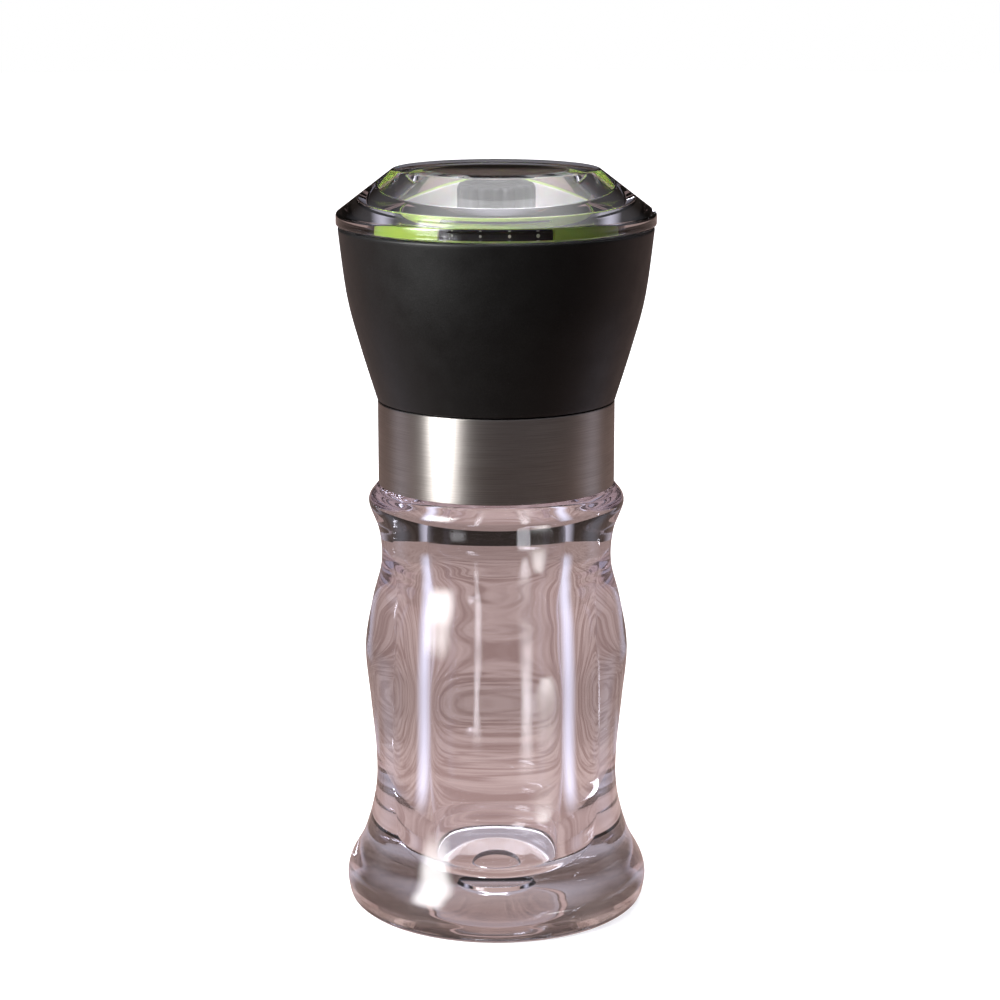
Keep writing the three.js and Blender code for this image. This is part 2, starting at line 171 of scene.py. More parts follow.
def turned(name, outline, shift=None, steps=ROUND):
    """Turns a closed (r, z) outline about Z. shift(r, z, angle) may move a point to another (r, z)."""
    bm = bmesh.new()
    rings = []
    for r, z in outline:
        ring = []
        for k in range(steps):
            angle = 2 * math.pi * k / steps
            rr, zz = shift(r, z, angle) if shift else (r, z)
            ring.append(bm.verts.new((rr * math.sin(angle) * MM, -rr * math.cos(angle) * MM, zz * MM)))
            if r == 0:
                break
        rings.append(ring)
    count = len(rings)
    for i in range(count):
        low, high = rings[i], rings[(i + 1) % count]
        if len(low) == 1 and len(high) == 1:
            continue
        for k in range(steps):
            n = (k + 1) % steps
            if len(low) == 1:
                bm.faces.new((low[0], high[n], high[k]))
            elif len(high) == 1:
                bm.faces.new((low[k], low[n], high[0]))
            else:
                bm.faces.new((low[k], low[n], high[n], high[k]))
    return from_bmesh(name, bm)


def ring(name, inner, outer, bottom, top, soft=0.15):
    corners = [(inner, bottom, soft), (outer, bottom, soft), (outer, top, soft), (inner, top, soft)]
    return turned(name, rounded(corners, 3))


def prism(name, outline, bottom, top, soft=0.0):
    """Extrudes a flat (x, y) outline between two heights, with its edges bevelled by soft."""
    bm = bmesh.new()
    low = [bm.verts.new((x * MM, y * MM, bottom * MM)) for x, y in outline]
    high = [bm.verts.new((x * MM, y * MM, top * MM)) for x, y in outline]
    bm.faces.new(low[::-1])
    bm.faces.new(high)
    for k in range(len(low)):
        n = (k + 1) % len(low)
        bm.faces.new((low[k], low[n], high[n], high[k]))
    if soft:
        edges = [e for e in bm.edges if e.calc_face_angle(0) > math.radians(25)]
        bmesh.ops.bevel(bm, geom=edges, offset=soft * MM, segments=3, profile=0.5, affect="EDGES")
    return from_bmesh(name, bm)


def circle(radius, sides, turn=0.0):
    angles = [turn + 2 * math.pi * k / sides for k in range(sides)]
    return [(radius * math.cos(a), radius * math.sin(a)) for a in angles]


def sector(inner, outer, start, end, steps=24):
    """The flat outline of a ring's sector between two angles in degrees."""
    angles = [math.radians(start + (end - start) * k / steps) for k in range(steps + 1)]
    outside = [(outer * math.cos(a), outer * math.sin(a)) for a in angles]
    inside = [(inner * math.cos(a), inner * math.sin(a)) for a in reversed(angles)]
    return outside + inside


def on_circle(outline, radius, degrees):
    """Moves a flat outline out to a circle's radius and turns it by an angle."""
    a = math.radians(degrees)
    out = [(x + radius, y) for x, y in outline]
    return [(x * math.cos(a) - y * math.sin(a), x * math.sin(a) + y * math.cos(a)) for x, y in out]


def combine(piece, tools, operation):
    """Joins tools to a piece (UNION) or cuts them out of it (DIFFERENCE), and removes them."""
    for tool in tools:
        modifier = piece.modifiers.new("combine", "BOOLEAN")
        modifier.operation = operation
        modifier.solver = "EXACT"
        modifier.object = tool
    graph = bpy.context.evaluated_depsgraph_get()
    mesh = bpy.data.meshes.new_from_object(piece.evaluated_get(graph))
    piece.modifiers.clear()
    piece.data = mesh
    for tool in tools:
        bpy.data.objects.remove(tool)
    mesh.set_sharp_from_angle(angle=SHARP)
    return piece


def coil(name, radius, wire, bottom, top, turns, per_turn=48, sides=12):
    """A compression spring: round wire in one even helix."""
    bm = bmesh.new()
    steps = turns * per_turn
    sections = []
    for k in range(steps + 1):
        t = k / steps
        angle = 2 * math.pi * turns * t
        height = bottom + wire / 2 + t * (top - bottom - wire)
        section = []
        for j in range(sides):
            b = 2 * math.pi * j / sides
            r = radius + wire / 2 * math.cos(b)
            z = height + wire / 2 * math.sin(b)
            section.append(bm.verts.new((r * math.cos(angle) * MM, r * math.sin(angle) * MM, z * MM)))
        sections.append(section)
    for a, b in zip(sections, sections[1:]):
        for j in range(sides):
            n = (j + 1) % sides
            bm.faces.new((a[j], b[j], b[n], a[n]))
    bm.faces.new(sections[0])
    bm.faces.new(sections[-1][::-1])
    return from_bmesh(name, bm)


# ---- materials ----------------------------------------------------------------------------


class Look:
    """A procedural material: a Principled shader, and helpers that add nodes to it."""

    def __init__(self, name, color, roughness, metallic=0.0, **sockets):
        self.material = bpy.data.materials.new(name)
        self.material.use_nodes = True
        self.nodes = self.material.node_tree.nodes
        self.links = self.material.node_tree.links
        self.shader = self.nodes["Principled BSDF"]
        self.set("Base Color", (*color, 1))
        self.set("Roughness", roughness)
        self.set("Metallic", metallic)
        for socket, value in sockets.items():
            self.set(socket.replace("_", " "), value)
        self.coordinates = self.nodes.new("ShaderNodeTexCoord").outputs["Object"]
        self.normal = None

    def set(self, socket, value):
        self.shader.inputs[socket].default_value = value

    def noise(self, scale, detail=3.0, stretch=(1, 1, 1), coordinates=None):
        mapping = self.nodes.new("ShaderNodeMapping")
        mapping.inputs["Scale"].default_value = stretch
        self.links.new(coordinates or self.coordinates, mapping.inputs["Vector"])
        texture = self.nodes.new("ShaderNodeTexNoise")
        texture.inputs["Scale"].default_value = scale
        texture.inputs["Detail"].default_value = detail
        self.links.new(mapping.outputs["Vector"], texture.inputs["Vector"])
        return texture.outputs["Fac"]

    def spread(self, value, low, high, start=0.3, end=0.7):
        """Maps start..end of a value to low..high."""
        ramp = self.nodes.new("ShaderNodeMapRange")
        for socket, number in (("From Min", start), ("From Max", end), ("To Min", low), ("To Max", high)):
            ramp.inputs[socket].default_value = number
        self.links.new(value, ramp.inputs["Value"])
        return ramp.outputs["Result"]

    def vary_roughness(self, value, low, high):
        self.links.new(self.spread(value, low, high), self.shader.inputs["Roughness"])

    def vary_color(self, value, dark, light):
        mix = self.nodes.new("ShaderNodeMix")
        mix.data_type = "RGBA"
        mix.inputs["A"].default_value = (*dark, 1)
        mix.inputs["B"].default_value = (*light, 1)
        self.links.new(self.spread(value, 0, 1), mix.inputs["Factor"])
        self.links.new(mix.outputs["Result"], self.shader.inputs["Base Color"])

    def bump(self, value, strength, distance):
        bump = self.nodes.new("ShaderNodeBump")
        bump.inputs["Strength"].default_value = strength
        bump.inputs["Distance"].default_value = distance
        self.links.new(value, bump.inputs["Height"])
        if self.normal:
            self.links.new(self.normal, bump.inputs["Normal"])
        self.normal = bump.outputs["Normal"]
        self.links.new(self.normal, self.shader.inputs["Normal"])

    def around(self, turns_scale):
        """Coordinates (angle round Z * scale, height), for marks that run round a turned piece."""
        split = self.nodes.new("ShaderNodeSeparateXYZ")
        self.links.new(self.coordinates, split.inputs["Vector"])
        angle = self.nodes.new("ShaderNodeMath")
        angle.operation = "ARCTAN2"
        self.links.new(split.outputs["Y"], angle.inputs[0])
        self.links.new(split.outputs["X"], angle.inputs[1])
        scaled = self.nodes.new("ShaderNodeMath")
        scaled.operation = "MULTIPLY"
        scaled.inputs[1].default_value = turns_scale
        self.links.new(angle.outputs["Value"], scaled.inputs[0])
        joined = self.nodes.new("ShaderNodeCombineXYZ")
        self.links.new(scaled.outputs["Value"], joined.inputs["X"])
        self.links.new(split.outputs["Z"], joined.inputs["Z"])
        return joined.outputs["Vector"]


def clear_acrylic():
    look = Look("clear_acrylic", (0.985, 0.98, 1.0), 0.015, IOR=1.49, Transmission_Weight=1.0)
    look.vary_roughness(look.noise(900, 4), 0.004, 0.03)
    look.bump(look.noise(120, 2), 0.02, 0.0004)
    absorption = look.nodes.new("ShaderNodeVolumeAbsorption")
    absorption.inputs["Color"].default_value = (0.72, 0.70, 0.90, 1)
    absorption.inputs["Density"].default_value = 8
    look.links.new(absorption.outputs["Volume"], look.nodes["Material Output"].inputs["Volume"])
    return look.material


def matt_black():
    look = Look("matt_black_plastic", (0.005, 0.005, 0.005), 0.42, Specular_IOR_Level=0.35)
    grain = look.noise(5200, 2)
    look.vary_roughness(look.noise(260, 4), 0.38, 0.47)
    look.vary_color(grain, (0.003, 0.003, 0.003), (0.007, 0.007, 0.007))
    look.bump(grain, 0.35, 0.00006)
    return look.material


def plastic(name, color, roughness, grain_scale=3200, grain_height=0.00003, **sockets):
    look = Look(name, color, roughness, **sockets)
    look.vary_roughness(look.noise(300, 4), roughness - 0.06, roughness + 0.06)
    look.vary_color(look.noise(180, 3), [c * 0.93 for c in color], [min(1, c * 1.06) for c in color])
    look.bump(look.noise(grain_scale, 2), 0.3, grain_height)
    return look.material


def brushed_steel():
    brushed = {"Anisotropic": 0.9, "Anisotropic_Rotation": 0.25}
    look = Look("brushed_steel", (0.60, 0.575, 0.55), 0.3, metallic=1.0, **brushed)
    tangent = look.nodes.new("ShaderNodeTangent")
    tangent.direction_type = "RADIAL"
    tangent.axis = "Z"
    look.links.new(tangent.outputs["Tangent"], look.shader.inputs["Tangent"])
    around = look.around(0.02)
    brushing = look.noise(9000, 4, stretch=(0.012, 1, 1), coordinates=around)
    broad = look.noise(1500, 3, stretch=(0.03, 1, 1), coordinates=around)
    look.vary_color(brushing, (0.35, 0.325, 0.305), (0.50, 0.475, 0.45))
    look.vary_roughness(broad, 0.38, 0.44)
    look.bump(brushing, 0.25, 0.00002)
    return look.material


def plain_steel():
    look = Look("spring_steel", (0.62, 0.62, 0.63), 0.25, metallic=1.0)
    look.vary_roughness(look.noise(700, 4), 0.18, 0.34)
    look.vary_color(look.noise(240, 3), (0.52, 0.52, 0.54), (0.7, 0.7, 0.7))
    look.bump(look.noise(2600, 3), 0.2, 0.00002)
    return look.material


def ceramic():
    look = Look("ceramic", (0.86, 0.84, 0.79), 0.55, Subsurface_Weight=0.15, Subsurface_Scale=0.002)
    look.vary_color(look.noise(900, 5), (0.82, 0.80, 0.75), (0.9, 0.885, 0.85))
    look.vary_roughness(look.noise(500, 4), 0.48, 0.64)
    look.bump(look.noise(4200, 4), 0.3, 0.00004)
    return look.material


ACRYLIC = clear_acrylic()
MATT_BLACK = matt_black()
BLACK = plastic("black_plastic", (0.018, 0.018, 0.019), 0.4)
GREY = plastic("grey_plastic", (0.085, 0.085, 0.09), 0.42)
KNOB_GREY = plastic("knob_grey", (0.014, 0.014, 0.015), 0.45)
GREEN = plastic("green_plastic", (0.47, 0.66, 0.10), 0.36, Subsurface_Weight=0.1, Subsurface_Scale=0.002)
NYLON = plastic("nylon", (0.80, 0.79, 0.74), 0.45, Subsurface_Weight=0.2, Subsurface_Scale=0.002)
SILICONE = plastic("silicone", (0.72, 0.72, 0.70), 0.55, Subsurface_Weight=0.4, Subsurface_Scale=0.003)
MARKS = plastic("scale_print", (0.75, 0.74, 0.68), 0.5)
STEEL = brushed_steel()
SPRING_STEEL = plain_steel()
CERAMIC = ceramic()


def fit(piece, body, node, material):
    """Gives a piece its material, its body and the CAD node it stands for."""
    piece.data.materials.clear()
    piece.data.materials.append(material)
    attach(piece, body)
    if node:
        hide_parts(node)
    return piece


# ---- jar and collar -----------------------------------------------------------------------


def ridge(z, angle, start):
    """How far, from 0 to 1, a screw thread stands out at a height and an angle. It runs out at its ends."""
    best = 0.0
    for turn in range(math.ceil(THREAD_TURNS)):
        along = angle / (2 * math.pi) + turn
        if along > THREAD_TURNS:
            continue
        away = abs(z - start - THREAD_PITCH * along)
        flank = min(1.0, max(0.0, (THREAD_HALF + THREAD_FLANK / 2 - away) / THREAD_FLANK))
        runout = min(1.0, 8 * along, 8 * (THREAD_TURNS - along))
        best = max(best, flank * flank * (3 - 2 * flank) * runout)
    return best


def jar():
    """One outline: recess and foot, waisted outside, shoulder and screw neck, bore and its floor."""
    floor, corner, bore, mouth, shoulder = 5.5, 5, 13, 93.5, 82.2
    recess, recess_top = 5.1, 1.2
    neck_foot, neck_top = (NECK_RADIUS, shoulder + 0.5), (NECK_RADIUS, mouth - 0.8)
    arc = [math.radians(-90 * k / 24) for k in range(25)]
    # The last point of each rounded stretch only gives a direction, and is left out.
    outline = rounded([(0, recess_top), (recess, recess_top, 0.3), (recess, 0, 0.2), (26, 0)])[:-1]
    outline += spline(JAR_CURVE, 140)
    outline += [(22.6, 82.05), (22.2, shoulder)]
    outline += [(NECK_RADIUS + 0.6, shoulder), (NECK_RADIUS + 0.15, shoulder + 0.15)]
    outline += even(neck_foot, neck_top, 0.2)
    outline += rounded([neck_top, (NECK_RADIUS, mouth, 0.7), (bore, mouth, 0.7), (bore, 80)])[:-1]
    outline += [(bore - corner + corner * math.cos(a), floor + corner + corner * math.sin(a)) for a in arc]
    outline += [(0, floor)]

    def threaded(r, z, angle):
        on_neck = abs(r - NECK_RADIUS) < 0.01
        reach = JAR_THREAD_CREST - NECK_RADIUS
        return (r + reach * ridge(z, angle, THREAD_START) if on_neck else r), z

    fit(turned("jar_acrylic", outline, threaded), "jar", "jar", ACRYLIC)


def collar():
    bore = even((COLLAR_BORE, 95.2), (COLLAR_BORE, 83.4), 0.2)
    outline = rounded([
        (COLLAR_BORE, 82.9, 0.3), (21.6, 82.9, 0.3), (21.6, 98, 0.3), (15.4, 98), (15.4, 102.9),
        (14.6, 102.9), (14.6, 103.9), (15.4, 103.9), (15.4, 105.2, 0.4), (13.6, 105.2, 0.3),
        (13.6, 95.6, 0.3), (COLLAR_BORE, 95.6),
    ]) + bore

    def threaded(r, z, angle):
        in_bore = abs(r - COLLAR_BORE) < 0.01 and 83.2 < z < 95.4
        reach = COLLAR_BORE - COLLAR_THREAD_CREST
        return (r - reach * ridge(z, angle, THREAD_START + THREAD_PITCH / 2) if in_bore else r), z

    fit(turned("collar_moulding", outline, threaded), "neck", "neck_collar", BLACK)


def neck_pieces():
    fit(ring("seal_ring", 13.4, 17.4, 93.8, 95.3, 0.4), "seal", "jar_seal", SILICONE)
    band = rounded([(21.9, 82.6, 0.12), (22.4, 82.6, 0.2), (22.4, 98.5, 0.2), (21.9, 98.5, 0.12)], 4)
    fit(turned("neck_band", band), "neck", "steel_band", STEEL)
    fit(ring("slide_washer", 16.4, 19.8, 98.3, 99.1), "neck", "thrust_washer", NYLON)
    fit(ring("sleeve_clip", 14.9, 16.7, 103, 103.8), "neck", "retaining_ring", SPRING_STEEL)


def spider():
    hub_low, hub_top, rim_top, arm_half = 98.4, 103.6, 101.4, 1.1
    body = ring("spindle_bridge", 12.2, 13.3, hub_low, rim_top)
    hub = prism("hub", circle(4.8, 48), hub_low, hub_top, 0.3)
    arm = [(1, -arm_half), (12.7, -arm_half), (12.7, arm_half), (1, arm_half)]
    low, top = hub_low + 0.02, rim_top - 0.02
    arms = [prism("arm", on_circle(arm, 0, angle), low, top, 0.25) for angle in ARM_ANGLES]
    combine(body, [hub, *arms], "UNION")
    combine(body, [prism("bore", circle(2.9, 6, turn=math.pi / 2), hub_low - 1, hub_top + 1)], "DIFFERENCE")
    fit(body, "neck", "drive_spider", GREY)


def spindle():
    bolt = prism("spindle_bolt", circle(2.6, 6, turn=math.pi / 2), 98, 132, 0.25)
    head = prism("head", circle(4, 6, turn=math.pi / 2), 95.6, 98.1, 0.4)
    fit(combine(bolt, [head], "UNION"), "neck", "spindle", SPRING_STEEL)


def tooth(angle, z, twist):
    """A saw tooth from 0 to 1, turned with height."""
    place = (angle - twist * (z - CONE_FOOT)) * TEETH / (2 * math.pi)
    part = place - math.floor(place)
    return part / TOOTH_RISE if part < TOOTH_RISE else (1 - part) / (1 - TOOTH_RISE)


def burrs():
    cone = [
        (3.6, CONE_FOOT), (7.6, CONE_FOOT), (8.6, 113.8), (10.9, 119.6), (12.2, 122.4), (12.4, 123.8),
        (3.6, 123.8),
    ]
    steps = [1, 0.4, 0.4, 0.4, 0.4, 1, 2]
    cone_rows = []
    for a, b, step in zip(cone, cone[1:] + cone[:1], steps):
        cone_rows += even(a, b, step)

    def cone_tooth(r, z, angle):
        return (r - TOOTH_DEPTH * tooth(angle, z, TOOTH_TWIST) if r > 7.5 else r), z

    fit(turned("cone_burr", cone_rows, cone_tooth), "neck", "inner_burr", CERAMIC)
    wall = [
        (15.7, 113.9), (15.7, 123.2), (12.9, 123.2), (12.75, 122.2), (11.9, 119.6), (10.8, 115.4),
        (12.2, 113.9),
    ]
    rows = []
    for a, b in zip(wall, wall[1:] + wall[:1]):
        rows += even(a, b, 0.45)

    def ring_tooth(r, z, angle):
        return (r + TOOTH_DEPTH * tooth(angle, z, -TOOTH_TWIST) if r < 13 else r), z

    fit(turned("ring_burr_ceramic", rows, ring_tooth), "carriage", "ring_burr", CERAMIC)


def knob():
    ribs, depth, radius, low = 18, 0.7, 7.4, 125.2
    corners = [
        (0, 132.3), (2.9, 132.3), (2.9, low, 0.3), (radius, low, 0.5), (radius, KNOB_TOP, 0.9),
        (5.2, KNOB_TOP, 0.5), (4.6, KNOB_TOP - 0.7, 0.5), (0, KNOB_TOP - 0.7),
    ]

    def ribbed(r, z, angle):
        groove = 0.5 - 0.5 * math.cos(angle * ribs)
        share = min(1.0, max(0.0, (r - 5.4) / 1.2))
        return r - depth * share * groove**2, z

    fit(turned("hub_nut", rounded(corners, 6), ribbed), "neck", "spindle_knob", KNOB_GREY)


def burr_springs():
    fit(coil("cone_spring", 4.3, 0.8, 104, 111.6, 4), "neck", "burr_spring", SPRING_STEEL)
    fit(ring("spring_seat", 3.2, 6, 111.9, 112.5), "neck", "spring_washer", SPRING_STEEL)
    fit(ring("cone_washer", 3.2, 8, 124.1, 124.9), "neck", "burr_washer", SPRING_STEEL)
    lift = coil("lift_spring", 17.6, 1, LIFT_SPRING_FOOT, LIFT_SPRING_TOP, 3, per_turn=72)
    fit(lift, "head", "carriage_spring", SPRING_STEEL)
    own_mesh(lift)
    clip = ring("ring_burr_clip", 14, 15.7, 123.5, 124.1)
    fit(clip, "carriage", "burr_retainer", SPRING_STEEL)


# ---- head ---------------------------------------------------------------------------------


def head_shell():
    outside = spline(HEAD_CURVE, 48)
    inside = [(r - HEAD_WALL, z) for r, z in reversed(outside)]
    low_rim = [(*inside[-1], 0.2), (*outside[0], 0.25)]
    top_rim = [(*outside[-1], 0.5), (*inside[0], 0.4)]
    shell = turned("head_grip", rounded(low_rim + outside[2:-2] + top_rim + inside[2:-2], 4))
    posts = [prism("post", on_circle(circle(2, 24), POST_CIRCLE, a), 107, 125.1) for a in POST_ANGLES]
    pilots = [prism("pilot", on_circle(circle(1.2, 16), POST_CIRCLE, a), 119.4, 126) for a in POST_ANGLES]
    combine(shell, posts, "UNION")
    combine(shell, pilots, "DIFFERENCE")
    fit(shell, "head", "head_shell", MATT_BLACK)


def head_liner():
    corners = [
        (15.8, 99.4, 0.2), (20.3, 99.4, 0.2), (20.3, 125.4, 0.2), (26.2, 125.4, 0.2), (26.2, 128, 0.3),
        (18.5, 128, 0.3), (18.5, 102.4), (15.8, 102.4, 0.2),
    ]
    liner = turned("liner_moulding", rounded(corners, 3))
    groove = [(17, -2.4), (19.3, -2.4), (19.3, 2.4), (17, 2.4)]
    cuts = []
    for key_angle, post_angle in zip(KEY_ANGLES, POST_ANGLES):
        cuts.append(prism("groove", on_circle(groove, 0, key_angle), 110, 129))
        cuts.append(prism("hole", on_circle(circle(1.2, 16), POST_CIRCLE, post_angle), 124, 129))
        cuts.append(prism("recess", on_circle(circle(2, 24), POST_CIRCLE, post_angle), 126.7, 129))
    fit(combine(liner, cuts, "DIFFERENCE"), "head", "head_liner", GREY)


def liner_screws():
    bar = [(-1.1, -0.2), (1.1, -0.2), (1.1, 0.2), (-1.1, 0.2)]
    upright = [(-y, x) for x, y in bar]
    for k, angle in enumerate(POST_ANGLES):
        head = prism(f"deck_screw_{k + 1}", on_circle(circle(1.7, 32), POST_CIRCLE, angle), 126.9, 127.8, 0.2)
        shank = prism("shank", on_circle(circle(0.9, 20), POST_CIRCLE, angle), 119.9, 127, 0.1)
        slots = [prism("slot", on_circle(shape, POST_CIRCLE, angle), 127.4, 128) for shape in (bar, upright)]
        combine(head, [shank], "UNION")
        combine(head, slots, "DIFFERENCE")
        fit(head, "head", f"liner_screw_{k + 1}", SPRING_STEEL)


def scale_ring():
    corners = [
        (21.2, 128.3), (25.2, 128.3, 0.2), (25.2, 129.6, 0.2), (SCALE_RADIUS, 129.6, 0.15),
        (SCALE_RADIUS, 132.4, 0.15), (20.9, 132.4, 0.15), (20.9, 130.2), (20.2, 130.2, 0.1),
        (20.2, 129.5, 0.1), (21.2, 129.5),
    ]
    fit(turned("scale_ring_moulding", rounded(corners, 4)), "head", "scale_ring", BLACK)


def scale_dots():
    """Eight printed dots that grow round the scale ring, from fine to coarse."""
    count, first, spacing, smallest, growth = 8, -110, 13, 0.18, 0.045
    height, thickness, sides = 131.9, 0.1, 20
    bm = bmesh.new()
    for k in range(count):
        size = smallest + growth * k
        angle = math.radians(first + spacing * k)
        rim = [(angle + x / SCALE_RADIUS, height + y) for x, y in circle(size, sides)]
        layers = []
        for radius in (SCALE_RADIUS - thickness / 2, SCALE_RADIUS + thickness / 2):
            places = [(radius * math.cos(turn), radius * math.sin(turn), z) for turn, z in rim]
            layers.append([bm.verts.new(Vector(place) * MM) for place in places])
        inner, outer = layers
        bm.faces.new(inner)
        bm.faces.new(outer[::-1])
        for j in range(sides):
            n = (j + 1) % sides
            bm.faces.new((inner[j], outer[j], outer[n], inner[n]))
    fit(from_bmesh("scale_dots", bm), "head", None, MARKS)


def sloped(name, inner, outer, start, end, bottom, top, slope_top):
    """A ring's sector whose top or bottom face rises with the angle, as the adjuster's ramps do."""
    piece = prism(name, sector(inner, outer, start, end), bottom, top)
    middle = (bottom + top) / 2 * MM
    for vertex in piece.data.vertices:
        if (vertex.co.z > middle) == slope_top:
            degrees = math.degrees(math.atan2(vertex.co.y, vertex.co.x))
            vertex.co.z += RAMP_DROP * degrees / RAMP_TRAVEL * MM
    return piece


def turn_copies(piece, count):
    """The piece and its copies, spread evenly round Z, with the turn in their meshes."""
    copies = [piece]
    for k in range(1, count):
        copy = add_object(f"{piece.name}_{k}", piece.data.copy())
        angle = 2 * math.pi * k / count
        for vertex in copy.data.vertices:
            x, y = vertex.co.x, vertex.co.y
            vertex.co.x = x * math.cos(angle) - y * math.sin(angle)
            vertex.co.y = x * math.sin(angle) + y * math.cos(angle)
        copies.append(copy)
    return copies


def burr_carriage():
    cup = turned("carriage_moulding", rounded([
        (13.6, 112, 0.3), (18.1, 112, 0.3), (18.1, 124.4, 0.2), (16, 124.4, 0.2), (16, 113.6),
        (13.6, 113.6, 0.3),
    ], 3))
    key = [(17, -2), (18.95, -2), (18.95, 2), (17, 2)]
    keys = [prism("key", on_circle(key, 0, angle), 113, 123.4) for angle in KEY_ANGLES]
    lugs = turn_copies(sloped("lug", 16.3, 17.9, -8, 8, 123.9, LUG_TOP, True), 3)
    fit(combine(cup, keys + lugs, "UNION"), "carriage", "burr_carriage", GREY)


def adjuster_hub():
    corners = [
        (16.3, 127.6, 0.2), (18.1, 127.6), (18.1, 128.4), (20.8, 128.4, 0.2), (20.8, 129.1, 0.2),
        (19.8, 129.1), (19.8, 133.6, 0.2), (18.6, 133.6, 0.3), (17.6, 129.6, 0.3), (16.3, 129, 0.4),
    ]
    body = turned("adjuster_funnel", rounded(corners, 5), steps=256)
    ramps = turn_copies(sloped("ramp", 16.5, 17.9, -85, 10, LUG_TOP + 0.3, 127.9, False), 3)
    fit(combine(body, ramps, "UNION"), "adjuster", "adjuster_hub", NYLON)


def adjuster_ring():
    corners = [
        (20.1, 131, 0.1), (20.6, 131, 0.1), (20.6, 132.9), (22.1, 132.9), (22.1, 130.4, 0.15),
        (22.7, 130.4, 0.15), (22.7, 132.9), (23.6, 132.9, 0.1), (23.6, 133.7, 0.2), (20.1, 133.4, 0.2),
    ]
    body = turned("coarseness_ring", rounded(corners, 4), steps=256)
    window = prism("window", sector(21.8, 26, -90 - WINDOW_HALF, -90 + WINDOW_HALF), 131.3, 132.6)
    fit(combine(body, [window], "DIFFERENCE"), "adjuster", "adjuster_ring", GREEN)


def cap():
    corners = [
        (0, 139.2), (13.5, 139.2, 1.0), (19.0, 134.1, 0.6), (24.0, 134.1, 0.3), (24.0, 131.5), (25.8, 131.5),
        (25.8, 128.7, 0.2), (27.1, 128.7, 0.3), (27.1, 131.5), (29.9, 131.5, 0.4), (29.9, 133.7, 0.9),
        (19.2, 141.9, 1.4), (0, 141.9),
    ]
    fit(turned("cap_acrylic", rounded(corners, 8), steps=256), "cap", "cap", ACRYLIC)


# ---- floor, lights and camera -------------------------------------------------------------

# The camera sees FLOOR_SEEN and white. The mill reflects and refracts the room and a table that glows with
# painted light and shade.
FLOOR_SEEN = (0.86, 0.855, 0.85)
TABLE_DARK = (0.27, 0.18, 0.16)
TABLE_LIGHT = (0.43, 0.32, 0.29)
# Painted shade for the table in front of the mill.
PAINTED_FRONT_SHADE = (0.085, 0.062, 0.055)
# Painted light at the table's sides, close to the mill.
PAINTED_SIDE_LIGHT = (0.80, 0.77, 0.90)
ROOM = (0.02, 0.016, 0.014)
ROOM_SIDES = (0.62, 0.60, 0.70)
ROOM_ABOVE = (0.46, 0.45, 0.50)


class Nodes:
    """Adds nodes to a tree. Their inputs are given by name, or as i0, i1 and so on by number."""

    def __init__(self, tree):
        self.nodes, self.links = tree.nodes, tree.links

    def add(self, kind, output=0, settings=None, **inputs):
        node = self.nodes.new(kind)
        for name, value in (settings or {}).items():
            setattr(node, name, value)
        for name, value in inputs.items():
            by_number = name[0] == "i" and name[1:].isdigit()
            socket = node.inputs[int(name[1:]) if by_number else name.replace("_", " ")]
            if isinstance(value, bpy.types.NodeSocket):
                self.links.new(value, socket)
            else:
                socket.default_value = value
        return node.outputs[output]

    def math(self, operation, a, b=0.0):
        return self.add("ShaderNodeMath", settings={"operation": operation}, i0=a, i1=b)

    def vector(self, operation, a, b=(0, 0, 0), output="Vector"):
        return self.add("ShaderNodeVectorMath", output, settings={"operation": operation}, i0=a, i1=b)

    def split(self, value):
        """The X, Y and Z outputs of a vector."""
        node = self.nodes.new("ShaderNodeSeparateXYZ")
        self.links.new(value, node.inputs[0])
        return node.outputs

    def ramp(self, value, start, end, low=0.0, high=1.0):
        """A smooth step from low to high as a value goes from start to end."""
        return self.add("ShaderNodeMapRange", settings={"interpolation_type": "SMOOTHSTEP"}, Value=value,
                        From_Min=start, From_Max=end, To_Min=low, To_Max=high)

    def sides(self, direction):
        """Greatest to the left and right, a little behind the mill, and 0 straight behind and in front."""
        flat = self.vector("MULTIPLY", direction, (1, 1, 0))
        unit = self.split(self.vector("NORMALIZE", flat))
        beside = self.ramp(self.math("ABSOLUTE", unit["X"]), 0.8, 0.98)
        return self.math("MULTIPLY", beside, self.ramp(unit["Y"], 0.0, 0.35))

    def blend(self, factor, a, b):
        """Mixes two colours, each a colour or a socket."""
        a, b = [c if isinstance(c, bpy.types.NodeSocket) else (*c, 1) for c in (a, b)]
        return self.add("ShaderNodeMix", "Result", {"data_type": "RGBA"}, Factor=factor, A=a, B=b)

    def camera_only(self, seen, other, output):
        """Shows one shader to the camera and another to the light that reaches the object."""
        path = self.nodes.new("ShaderNodeLightPath").outputs["Is Camera Ray"]
        self.links.new(self.add("ShaderNodeMixShader", Fac=path, i1=other, i2=seen), output)


def pale_floor(tree, away):
    """What the camera sees: a pale floor with a painted glow that whitens it with distance."""
    # Painted light: the floor glows by itself, less near the mill and fully white far off.
    glow = tree.add("ShaderNodeEmission", Strength=tree.ramp(away, 0.05, 0.6, 0.5, 1.0))
    pale = tree.add("ShaderNodeBsdfDiffuse", Color=(*FLOOR_SEEN, 1))
    return tree.add("ShaderNodeAddShader", i0=pale, i1=glow)


